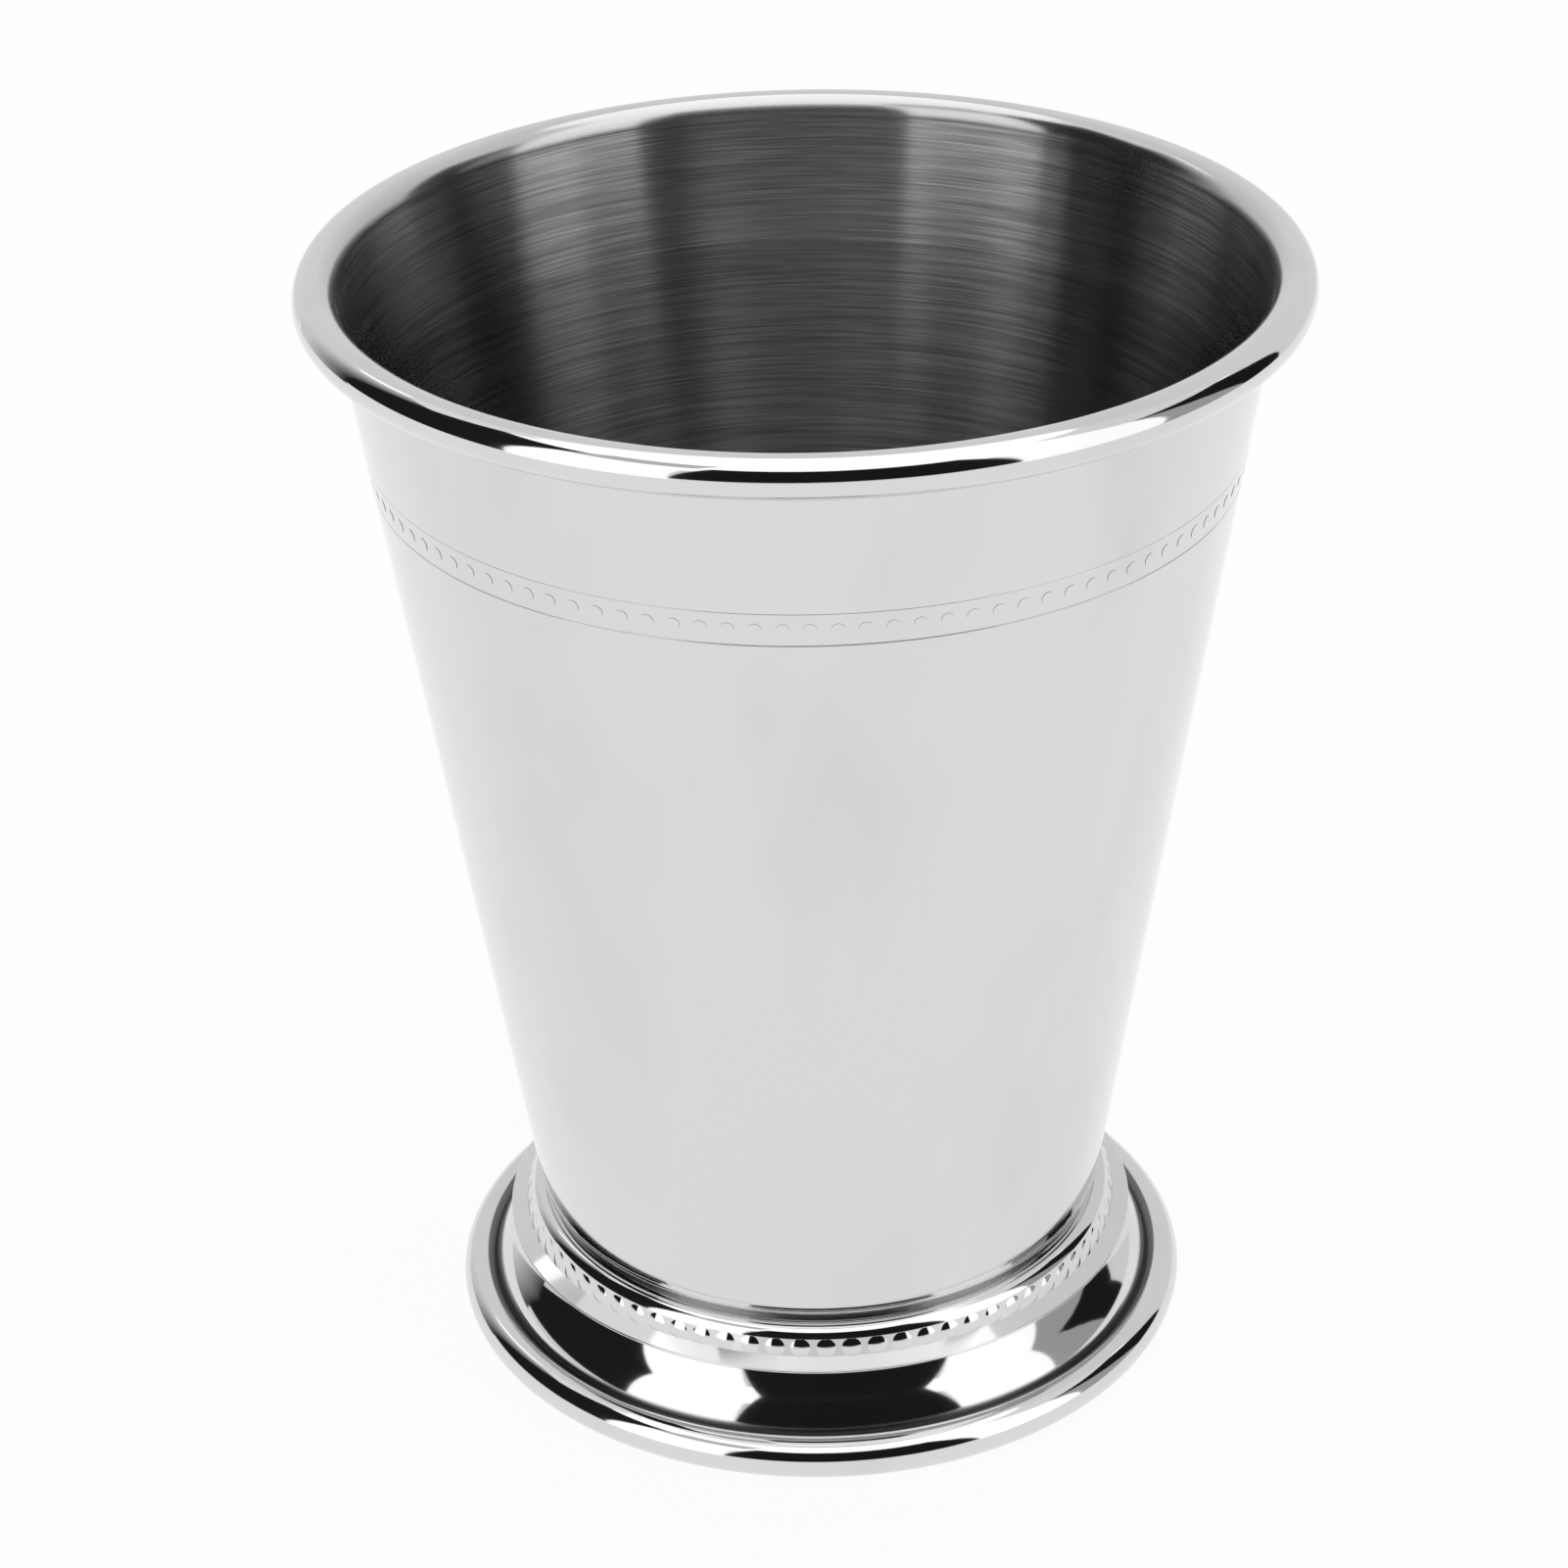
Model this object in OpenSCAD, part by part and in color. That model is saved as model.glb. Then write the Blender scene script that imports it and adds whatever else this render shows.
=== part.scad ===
// Julep cup: a tapered metal cup with a rolled rim, on a low spreading foot with a row of beads.
// Millimetres. The origin is the centre of the foot's underside, on the table, and +Z is up.
// Every piece is turned about the Z axis. Only the beads of the foot break the turned form.

/* [Cup] */
// Height of the whole cup, from the table to the top of the rim
cup_h = 107.6; // [98:0.2:130]
// Outer diameter that the tapered wall has where its line meets the foot's seat
taper_base_d = 54.2; // [50:0.1:54.4]
// Thickness of the wall's sheet, measured level
wall_t = 0.6; // [0.4:0.05:1]
// Outer radius of the wall's turned-in lower corner
corner_r = 2.2; // [1.6:0.1:3.4]
// Thickness of the floor disc
floor_t = 0.6; // [0.4:0.05:1.2]

/* [Rim] */
// Outer diameter of the rim, the widest part of the cup
rim_d = 90; // [84:0.5:100]
// Diameter of the rolled rim's round section
rim_roll_d = 3.8; // [3:0.1:4.6]
// Slot between the end of the roll and the wall
rim_slot = 0.2; // [0.1:0.05:0.4]

/* [Scribed band] */
// Height of the lower scribed line above the table
band_z = 88.7; // [70:0.1:90]
// Distance between the two scribed lines
band_w = 3.1; // [2.4:0.1:4]
// Width of a scribed line
line_w = 0.3; // [0.2:0.05:0.5]
// Depth of a scribed line
line_depth = 0.1; // [0.06:0.02:0.2]

/* [Foot] */
// Height of the foot's seat above the table
foot_h = 12.4; // [11:0.1:15]
// Thickness of the foot's sheet
foot_t = 0.8; // [0.6:0.05:1]
// Width of the seat outside the line where the cup's taper meets it
seat_w = 0.2; // [0.1:0.05:1.2]
// Width of the cup's turned-in edge, which lies on the seat
seat_lap = 7.1; // [5:0.1:10]
// Radius of the rounded shoulder, from the seat down to the beaded strip
shoulder_r = 1; // [0.6:0.05:1.3]
// Width of the sloping ledge below the beads
ledge_w = 1.75; // [1.2:0.05:3]
// Fall of the ledge from the beads to its edge
ledge_fall = 0.65; // [0.2:0.05:0.8]
// Height of the ledge's upright edge
ledge_edge = 0.25; // [0.15:0.05:0.5]
// How far the ledge overhangs the top of the ogee
ledge_over = 0.6; // [0.3:0.05:0.9]
// Width of the ogee, from below the ledge's edge to the flange
ogee_w = 2.2; // [1.4:0.1:4]
// Radius of the ogee's hollow above and of its swell below
ogee_r = 5.6; // [4:0.1:16]
// Width of the level flange, from the ogee to the middle of the edge wire
flange_w = 0.95; // [0.8:0.05:2.5]
// Diameter of the edge wire's round section
wire_d = 3.9; // [3.4:0.1:4.4]

/* [Beads] */
// Number of beads round the foot
bead_n = 75; // [60:1:80]
// Diameter of one bead where it rises from the strip
bead_d = 1.75; // [1.4:0.05:2]
// Height of a bead above the strip
bead_h = 0.15; // [0.1:0.01:0.4]
// Height of the strip that carries the beads
strip_h = 1.55; // [1.3:0.05:2]
// Thickness of the strip along its top edge
strip_t = 0.2; // [0.15:0.05:0.4]
// Lean of the strip's face from the upright, in degrees
strip_lean = 9; // [0:0.5:12]

/* [Hidden] */

// Fineness of the turned surfaces and of the round parts of their profiles, and of a bead
$fn = 180;
bead_fn = 32;
// Straight stretches in an arc of the foot's profile
arc_n = 10;
// Turn of the first bead about the Z axis
bead_start = 1.85;
// Clearance of a soldered seam
seam = 0.05;
// How far a cutting shape reaches past what it cuts
overrun = 1;

// The rim's roll: its centre lies level with the wall's top edge
roll_r = rim_roll_d / 2;
roll_cr = rim_d / 2 - roll_r;
roll_z = cup_h - roll_r;
// The wall's straight taper, from the seat to the roll's centre, outside
taper_top_r = rim_d / 2 - rim_roll_d + wall_t;
taper_base_r = taper_base_d / 2;
taper = atan((taper_top_r - taper_base_r) / (roll_z - foot_h));
function taper_r(z) = taper_base_r + (z - foot_h) * tan(taper);
// Distance from a corner of the taper and a level floor to where its rounding starts
function corner_reach(r) = r / tan((90 + taper) / 2);
// Centre of the wall's lower corner
corner = [taper_base_r - corner_reach(corner_r), foot_h + corner_r];

// The foot's radii, from the seat outwards
seat_hole_r = taper_base_r - seat_lap;
seat_r = taper_base_r + seat_w;
strip_top_r = seat_r + shoulder_r;
strip_foot_r = strip_top_r + strip_h * tan(strip_lean);
drum_r = strip_top_r - strip_t - seam;
ledge_r = strip_foot_r + ledge_w;
ogee_top_r = ledge_r - ledge_over;
ogee_foot_r = ledge_r + ogee_w;
wire_r = wire_d / 2;
wire_cr = ogee_foot_r + flange_w;
// The foot's levels, from the seat down
strip_top = foot_h - shoulder_r;
strip_base = strip_top - strip_h;
ledge_z = strip_base - ledge_fall;
ogee_top_z = ledge_z - ledge_edge;
// The wire is filed flat underneath, and the flange ends in a rebate just below the wire's top
wire_flat = 0.05;
wire_z = wire_r - wire_flat;
rebate = 0.1;
flange_z = wire_z + wire_r - rebate;
// Far enough out to clear the whole cup
clear_r = 2 * wire_cr;

// Profile of a cup-shaped body: a taper down to a rounded corner on a level floor.
// base_r is the taper's radius at the floor's level z_floor, and round_r rounds the corner.
module beaker_profile(base_r, z_floor, z_top, round_r) {
    reach = corner_reach(round_r);
    polygon([
        [0, z_floor],
        [base_r - reach, z_floor],
        [base_r + reach * sin(taper), z_floor + reach * cos(taper)],
        [base_r + (z_top - z_floor) * tan(taper), z_top],
        [0, z_top]
    ]);
    translate([base_r - reach, z_floor + round_r]) circle(r = round_r);
}

// Room inside the cup
module cup_inside() {
    z_floor = foot_h + wall_t;
    beaker_profile(taper_r(z_floor) - wall_t, z_floor, roll_z + overrun, corner_r - wall_t);
}

// One scribed line round the wall: a shallow V groove, cut by a diamond
module scribed_line(z) {
    translate([taper_r(z), z])
        rotate(-taper)
            polygon([[0, line_w / 2], [line_depth, 0], [0, -line_w / 2], [-line_depth, 0]]);
}

module cup_wall() {
    color("gainsboro")
        rotate_extrude()
            difference() {
                beaker_profile(taper_base_r, foot_h, roll_z, corner_r);
                cup_inside();
                square([seat_hole_r, roll_z]);
                scribed_line(band_z);
                scribed_line(band_z + band_w);
            }
}

// The floor is a flat disc that lies on the wall's turned-in edge
floor_z = foot_h + wall_t;
floor_r = taper_r(floor_z) - wall_t - corner_reach(corner_r - wall_t);

module cup_floor() {
    color("silver")
        translate([0, 0, floor_z])
            cylinder(r = floor_r, h = floor_t);
}

// The roll is a tube of the wall's own sheet. It starts on the wall's top edge, goes over
// and outwards, and ends a slot away from the wall's outer face.
roll_end_r = taper_r(roll_z - roll_r * sin(50)) + rim_slot;
roll_end = acos((roll_cr - roll_end_r) / roll_r);

module rim_roll() {
    far = 2 * roll_r;
    color("white")
        rotate_extrude()
            translate([roll_cr, roll_z])
                difference() {
                    circle(r = roll_r);
                    circle(r = roll_r - wall_t);
                    polygon([
                        [0, 0],
                        [-far, 0],
                        [-far, -far],
                        [-far * cos(roll_end), -far * sin(roll_end)]
                    ]);
                }
}

// Points of an arc round a centre, from one angle to another
function arc_points(centre, r, from, to) =
    [for (i = [0 : arc_n]) centre + r * [cos(from + (to - from) * i / arc_n), sin(from + (to - from) * i / arc_n)]];

// The ogee is two equal arcs, hollow above and swelling below, that meet halfway
ogee_top = [ogee_top_r, ogee_top_z];
ogee_foot = [ogee_foot_r, flange_z];
ogee_half = (ogee_foot - ogee_top) / 2;
ogee_out = [-ogee_half.y, ogee_half.x] / norm(ogee_half);
ogee_turn = asin(norm(ogee_half) / 2 / ogee_r);
ogee_reach = ogee_r * cos(ogee_turn);
ogee_lean = atan2(ogee_out.y, ogee_out.x);
hollow_centre = ogee_top + ogee_half / 2 + ogee_out * ogee_reach;
swell_centre = ogee_foot - ogee_half / 2 - ogee_out * ogee_reach;
ogee_points = concat(
    arc_points(hollow_centre, ogee_r, 180 + ogee_lean - ogee_turn, 180 + ogee_lean + ogee_turn),
    arc_points(swell_centre, ogee_r, ogee_lean + ogee_turn, ogee_lean - ogee_turn)
);

// Outline of the foot, filled down to the table. Below the rounded shoulder a rebate takes the strip.
module foot_outline() {
    far = wire_cr + wire_r;
    polygon(concat(
        [[0, foot_h]],
        arc_points([seat_r, strip_top], shoulder_r, 90, 0),
        [
            [drum_r, strip_top],
            [drum_r, strip_base],
            [strip_foot_r, strip_base],
            [ledge_r, ledge_z],
            [ledge_r, ogee_top_z]
        ],
        ogee_points,
        [
            [wire_cr, flange_z],
            [far, flange_z],
            [far, 0],
            [0, 0]
        ]
    ));
}

// The foot is spun from one sheet, so its inside follows its outside
module foot_shell() {
    color("lightgray")
        rotate_extrude()
            difference() {
                foot_outline();
                translate([-foot_t, -foot_t]) foot_outline();
                square([seat_hole_r, cup_h]);
                translate([wire_cr, 0]) square([clear_r, cup_h]);
            }
}

// A bead is the cap of a ball that stands out of the strip's leaning face
bead_ball_r = (pow(bead_d / 2, 2) + pow(bead_h, 2)) / (2 * bead_h);
bead_ball_cr = (strip_top_r + strip_foot_r) / 2 - (bead_ball_r - bead_h) * cos(strip_lean);
bead_ball_z = (strip_top + strip_base) / 2 - (bead_ball_r - bead_h) * sin(strip_lean);

// The balls of the beads, cut to the height of the strip
module beads() {
    difference() {
        for (i = [0 : bead_n - 1])
            rotate(360 / bead_n * i + bead_start)
                translate([bead_ball_cr, 0, bead_ball_z])
                    sphere(r = bead_ball_r, $fn = bead_fn);
        translate([0, 0, strip_base - clear_r]) cylinder(r = clear_r, h = clear_r);
        translate([0, 0, strip_top]) cylinder(r = clear_r, h = clear_r);
    }
}

module bead_strip() {
    color("whitesmoke")
        difference() {
            union() {
                translate([0, 0, strip_base]) cylinder(r1 = strip_foot_r, r2 = strip_top_r, h = strip_h);
                beads();
            }
            translate([0, 0, strip_base - strip_h]) cylinder(r = drum_r + seam, h = 3 * strip_h);
        }
}

module foot_wire() {
    color("silver")
        rotate_extrude()
            difference() {
                translate([wire_cr, wire_z]) circle(r = wire_r);
                translate([0, -wire_d]) square([clear_r, wire_d]);
                translate([0, flange_z - foot_t - seam]) square([wire_cr + seam, wire_d]);
            }
}

// The solder shows as a fine ring in the wedge between the cup's corner and the seat
fillet_in = corner_r * sin(15);
fillet_out = corner_r * sin(30);

module solder_fillet() {
    color("darkgray")
        rotate_extrude()
            difference() {
                translate([corner.x + fillet_in, foot_h]) square([fillet_out - fillet_in, corner_r]);
                translate([0, corner.y - corner_r * cos(30)]) square([clear_r, corner_r]);
                translate(corner) circle(r = corner_r + seam / 2);
            }
}

cup_wall();
cup_floor();
rim_roll();
foot_shell();
bead_strip();
foot_wire();
solder_fillet();
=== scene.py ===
"""Looks of the julep cup: silver plate, polished outside and brushed inside, in a small studio."""

import math

import bmesh
import bpy
from bpy.props import FloatProperty, FloatVectorProperty, IntProperty, PointerProperty
from mathutils import Matrix, Vector


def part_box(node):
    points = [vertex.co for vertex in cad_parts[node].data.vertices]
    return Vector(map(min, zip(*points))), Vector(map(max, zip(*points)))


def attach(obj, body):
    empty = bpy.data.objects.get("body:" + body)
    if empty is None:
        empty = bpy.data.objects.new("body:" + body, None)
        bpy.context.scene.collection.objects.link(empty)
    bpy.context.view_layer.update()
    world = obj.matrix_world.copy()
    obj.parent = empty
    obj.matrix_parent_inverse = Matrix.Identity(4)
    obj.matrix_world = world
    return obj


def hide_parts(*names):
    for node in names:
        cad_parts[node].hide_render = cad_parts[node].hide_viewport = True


bl_info = {
    "name": "Julep Cup",
    "version": (1, 0, 0),
    "blender": (4, 5, 0),
    "location": "View3D > Sidebar > Julep Cup",
    "description": "Builds a silver julep cup with a beaded foot, and the studio that it stands in",
    "category": "Object",
}

MM = 0.001
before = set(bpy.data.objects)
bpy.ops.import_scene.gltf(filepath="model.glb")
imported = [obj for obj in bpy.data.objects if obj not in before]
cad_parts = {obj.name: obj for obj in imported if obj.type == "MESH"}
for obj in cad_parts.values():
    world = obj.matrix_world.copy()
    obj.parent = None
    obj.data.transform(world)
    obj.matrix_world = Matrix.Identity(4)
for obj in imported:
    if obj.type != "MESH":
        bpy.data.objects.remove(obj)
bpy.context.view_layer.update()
ROLL_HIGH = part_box("rim_roll")[1]
WIRE_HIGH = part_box("foot_wire")[1]
SEAT_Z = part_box("foot_shell")[1].z

# Steps of a full turn. A facet is then under a degree, so a mirror finish shows none.
TURN_STEPS = 384
# How often the first sector of a turn is doubled until the turn is full
TURN_DOUBLINGS = 4
# Longest straight stretch of a turned profile, so that shading stays true next to a rounding
PROFILE_STEP = 1.2 * MM
# Vertices closer than this, in metres, become one
MERGE = 1e-7

# Where the roll's end faces the wall across the slot: degrees below the level of its centre
ROLL_END = 50
# The upper scribed line is fainter than the lower one: its share of the width and depth
UPPER_LINE_SHARE = 0.5
# Rings of a stamped dot, from its edge inwards: share of its radius, and the rise to the ring
# as a share of its height
DOT_RINGS = ((0.93, 0.55), (0.82, 0.3), (0.55, 0.15))
# How deep a dot's edge lies under the wall's face, as a share of its height
DOT_SINK = 0.15

# Roughness of the brushed inside, and the quarter turn that draws its highlights across the rings
SATIN_ROUGHNESS = 0.21
ACROSS_RINGS = 0.25
# The inside is darker below a ring under the mouth: the ring's height, half the width of its step,
# and how much of the plate's brightness is left below it
DARKER_BELOW_Z = 93.7 * MM
DARKER_BELOW_EDGE = 0.15 * MM
DARKER_BELOW_SHARE = 0.78
# Where the brushing runs out over the rim: shares of the roll's radius, inwards from its crest
LIP_FROM, LIP_TO = 0.2, 0.9
# Painted shade in the valley beside the foot's wire, a dull dark grey band: how far it reaches
# under the ogee's foot, how far it stays from the wire's middle, the width of its soft ends, and
# its roughness
VALLEY_SHADE_REACH = 0.3 * MM
VALLEY_SHADE_GAP = 0.35 * MM
VALLEY_SHADE_FADE = 0.15 * MM
VALLEY_SHADE_ROUGHNESS = 0.3
# Share of pure white in what the camera and the metal see of the table
TABLE_WHITE = 0.94
# The colour inputs of a Mix node and its colour output, which share their names with others
COLOUR_A, COLOUR_B, COLOUR_OUT = 6, 7, 2

# The overhead light's radius, height and strength, in metres, where a strength of 1 is white
OVERHEAD = (1.8, 1.3, 1.45)
# The table's half width, and how far its middle lies behind the cup, in metres
TABLE_HALF, TABLE_BACK = 1.2, 0.6
# The camera's lens and sensor in millimetres, its place in metres, and its turns in degrees:
# down, to the right, and about its own axis
LENS, SENSOR = 97.459, 36.0
CAMERA_PLACE = (0.0, -0.349782, 0.244386)
CAMERA_TURNS = (28.469, -0.446, -1.185)


def linear(code):
    """A linear colour from an sRGB hex code."""
    parts = [int(code[i : i + 2], 16) / 255 for i in (1, 3, 5)]
    return tuple(c / 12.92 if c <= 0.04045 else ((c + 0.055) / 1.055) ** 2.4 for c in parts)


def length(name, words, millimetres):
    """A size that the sidebar shows as a length."""
    return FloatProperty(
        name=name, description=words, default=millimetres * MM, min=0.0, precision=5, unit="LENGTH"
    )


def colour(name, words, code):
    """A colour that the sidebar shows as a swatch."""
    return FloatVectorProperty(
        name=name, description=words, default=linear(code), min=0.0, max=1.0, subtype="COLOR"
    )


class JulepCupSizes(bpy.types.PropertyGroup):
    """Sizes of the cup above the foot"""

    taper_base_d: length("Taper base", "Diameter where the wall's taper meets the seat", 54.2)
    wall_t: length("Wall", "Thickness of the wall's sheet", 0.6)
    corner_r: length("Corner", "Outer radius of the wall's lower corner", 2.2)
    roll_d: length("Rim roll", "Diameter of the rolled rim's section", 3.8)
    roll_slot: length("Rim slot", "Slot between the end of the roll and the wall", 0.2)
    band_z: length("Band height", "Height of the lower scribed line", 88.7)
    band_w: length("Band width", "Distance between the scribed lines", 3.1)
    line_w: length("Line width", "Width of a scribed line", 0.16)
    line_depth: length("Line depth", "Depth of a scribed line", 0.03)
    dot_n: IntProperty(name="Band dots", description="Stamped dots round the band", default=108)
    dot_d: length("Dot", "Diameter of a stamped dot", 2.2)
    dot_h: length("Dot height", "Height of a stamped dot above the wall", 0.028)


class JulepFootSizes(bpy.types.PropertyGroup):
    """Sizes of the foot, from the seat outwards and down"""

    sheet_t: length("Sheet", "Thickness of the foot's sheet", 0.8)
    shoulder_w: length("Shoulder width", "Width of the shoulder outside the taper's line", 1.25)
    seat_lap: length("Seat lap", "Width of the cup's turned-in edge on the seat", 7.1)
    shoulder_r: length("Shoulder", "Radius of the rounded shoulder above the beads", 1.447)
    strip_h: length("Strip height", "Height of the strip that carries the beads", 1.55)
    strip_t: length("Strip thickness", "Thickness of that strip along its top edge", 0.2)
    strip_lean: FloatProperty(
        name="Strip lean",
        description="Lean of the strip's face from the upright",
        default=math.radians(18),
        subtype="ANGLE",
    )
    bead_n: IntProperty(name="Beads", description="Beads round the foot", default=75)
    bead_start: FloatProperty(
        name="First bead",
        description="Turn of the first bead about the axis",
        default=math.radians(1.85),
        subtype="ANGLE",
    )
    bead_d: length("Bead", "Diameter of a bead where it leaves the strip", 1.75)
    bead_h: length("Bead height", "Height of a bead above the strip", 0.12)
    ledge_w: length("Ledge", "Width of the ledge below the beads", 1.55)
    ledge_fall: length("Ledge fall", "Fall of the ledge towards its edge", 0.62)
    ledge_edge: length("Ledge edge", "Height of the ledge's edge", 0.25)
    ledge_over: length("Ledge overhang", "How far the ledge overhangs the ogee", 1.57)
    ogee_w: length("Ogee width", "Width of the ogee outside the ledge", 1.8)
    ogee_r: length("Ogee radius", "Radius of the ogee's hollow and of its swell", 8.1)
    valley_w: length("Valley", "Width from the ogee's foot to the middle of the wire", 1.24)
    seam: length("Seam", "Clearance of a soldered seam", 0.05)


class JulepFinish(bpy.types.PropertyGroup):
    """Colours of the metal and of the studio"""

    plate: colour("Silver plate", "Colour of the polished plate", "#DADADA")
    plate_worn: colour("Handled plate", "Colour where cloths and fingers have dulled it", "#D4D4D4")
    satin: colour("Satin inside", "Colour of the brushed inside", "#CACACA")
    satin_dark: colour("Satin grooves", "Colour of the brushed inside's grooves", "#949494")
    tarnish: colour("Tarnish", "Colour of the tarnish in the scribed lines", "#A2A2A2")
    lip: colour("Brushed lip", "Colour of the plate where the brushing ends on the rim", "#BEBEBE")
    solder: colour("Solder", "Colour of the solder ring", "#9A9A99")
    # Painted shade: the dark grey that is painted into the valley between the foot's wire and the
    # ogee
    seam: colour("Seam", "Colour of the painted shade in the valley beside the foot's wire", "#707070")
    table: colour("Table", "Colour of the table", "#F4F4F4")


# --- Turned profiles -------------------------------------------------------------------------


def start(bm, r, z):
    """The first point of a profile in the XZ plane."""
    return bm.verts.new((r, 0.0, z))


def line_to(bm, last, r, z):
    """A straight stretch of a profile."""
    point = bm.verts.new((r, 0.0, z))
    bm.edges.new((last, point))
    return point


def lines_to(bm, last, *points):
    """Straight stretches of a profile through points (r, z)."""
    for r, z in points:
        last = line_to(bm, last, r, z)
    return last


def arc_to(bm, last, centre, degrees, steps):
    """An arc of a profile round centre (r, z). Positive degrees turn from +X towards +Z."""
    out = bmesh.ops.spin(
        bm,
        geom=[last],
        cent=(centre[0], 0.0, centre[1]),
        axis=(0.0, -1.0, 0.0),
        angle=math.radians(degrees),
        steps=steps,
    )
    return next(g for g in out["geom_last"] if isinstance(g, bmesh.types.BMVert))


def round_to(bm, last, corner, then, radius, steps):
    """A straight stretch up to a rounded corner, and the rounding, on the way to the point then."""
    here, there = Vector((last.co.x, last.co.z)), Vector(then)
    corner = Vector(corner)
    before, after = (here - corner).normalized(), (there - corner).normalized()
    half = before.angle(after) / 2
    centre = corner + (before + after).normalized() * (radius / math.sin(half))
    tangent = corner + before * (radius / math.tan(half))
    turn = before.x * after.y - before.y * after.x
    degrees = math.copysign(180 - math.degrees(2 * half), -turn)
    last = line_to(bm, last, *tangent)
    return arc_to(bm, last, centre, degrees, steps)


def turn(bm, steps=TURN_STEPS):
    """Splits the long stretches of a profile and turns it once round the Z axis."""
    bmesh.ops.remove_doubles(bm, verts=bm.verts, dist=MERGE)
    for edge in list(bm.edges):
        cuts = math.ceil(edge.calc_length() / PROFILE_STEP) - 1
        if cuts > 0:
            bmesh.ops.subdivide_edges(bm, edges=[edge], cuts=cuts)
    # One sector is spun, then doubled until the turn is full: much quicker than one long spin
    sectors = 2**TURN_DOUBLINGS
    sector = math.tau / sectors
    bmesh.ops.spin(
        bm,
        geom=bm.verts[:] + bm.edges[:],
        cent=(0.0, 0.0, 0.0),
        axis=(0.0, 0.0, 1.0),
        angle=sector,
        steps=steps // sectors,
    )
    for doubling in range(TURN_DOUBLINGS):
        copy = bmesh.ops.duplicate(bm, geom=bm.verts[:] + bm.edges[:] + bm.faces[:])
        bmesh.ops.rotate(
            bm,
            cent=(0.0, 0.0, 0.0),
            matrix=Matrix.Rotation(sector * 2**doubling, 3, "Z"),
            verts=[g for g in copy["geom"] if isinstance(g, bmesh.types.BMVert)],
        )
    bmesh.ops.remove_doubles(bm, verts=bm.verts, dist=MERGE)


def repeat_round(bm, count):
    """Repeats what a bmesh holds round the Z axis, so many times in all and evenly spaced."""
    bmesh.ops.spin(
        bm,
        geom=bm.verts[:] + bm.edges[:] + bm.faces[:],
        cent=(0, 0, 0),
        axis=(0, 0, 1),
        angle=math.tau * (count - 1) / count,
        steps=count - 1,
        use_duplicate=True,
    )


def finish_piece(bm, name, materials, nodes=(), crease=12.0):
    """Turns a bmesh into a piece of the cup: faces outwards, smooth except at creases."""
    bmesh.ops.recalc_face_normals(bm, faces=bm.faces)
    mesh = bpy.data.meshes.new(name)
    bm.to_mesh(mesh)
    bm.free()
    mesh.shade_smooth()
    mesh.set_sharp_from_angle(angle=math.radians(crease))
    for material in materials:
        mesh.materials.append(material)
    piece = bpy.data.objects.new(name, mesh)
    bpy.context.scene.collection.objects.link(piece)
    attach(piece, "root")
    if nodes:
        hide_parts(*nodes)
    return piece


# --- Materials -------------------------------------------------------------------------------


def add(tree, kind, inputs=(), **settings):
    """Adds a node with its settings and links.

    An input that gets a socket is linked, and one that gets a value is set to it. A setting can
    name an input too, with its spaces as underscores.
    """
    node = tree.nodes.new(kind)
    for key, value in settings.items():
        socket = node.inputs.get(key.replace("_", " "))
        if hasattr(node, key):
            setattr(node, key, value)
        elif socket is not None:
            socket.default_value = value
        else:
            raise KeyError(f"{kind} has no setting or input {key}")
    for name, source in inputs:
        if isinstance(source, bpy.types.NodeSocket):
            tree.links.new(source, node.inputs[name])
        else:
            node.inputs[name].default_value = source
    return node


def new_material(name):
    """An empty node material and its tree."""
    material = bpy.data.materials.get(name) or bpy.data.materials.new(name)
    material.use_nodes = True
    material.node_tree.nodes.clear()
    return material, material.node_tree


def waves(tree, millimetres, stretch=(1, 1, 1), detail=3.0, roughness=0.5, place=None):
    """Noise whose waves are about so many millimetres long, stretched by axis.

    It lies in object space, or in the space that place gives.
    """
    place = place or add(tree, "ShaderNodeTexCoord").outputs["Object"]
    scale = tuple(1 / s for s in stretch)
    mapping = add(tree, "ShaderNodeMapping", [("Vector", place)], Scale=scale)
    return add(
        tree,
        "ShaderNodeTexNoise",
        [("Vector", mapping.outputs["Vector"])],
        Scale=1 / (millimetres * MM),
        Detail=detail,
        Roughness=roughness,
    )


def along_rings(tree):
    """The direction of lathe marks in a turned piece: round its axis."""
    return add(tree, "ShaderNodeTangent", direction_type="RADIAL", axis="Z").outputs["Tangent"]


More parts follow.
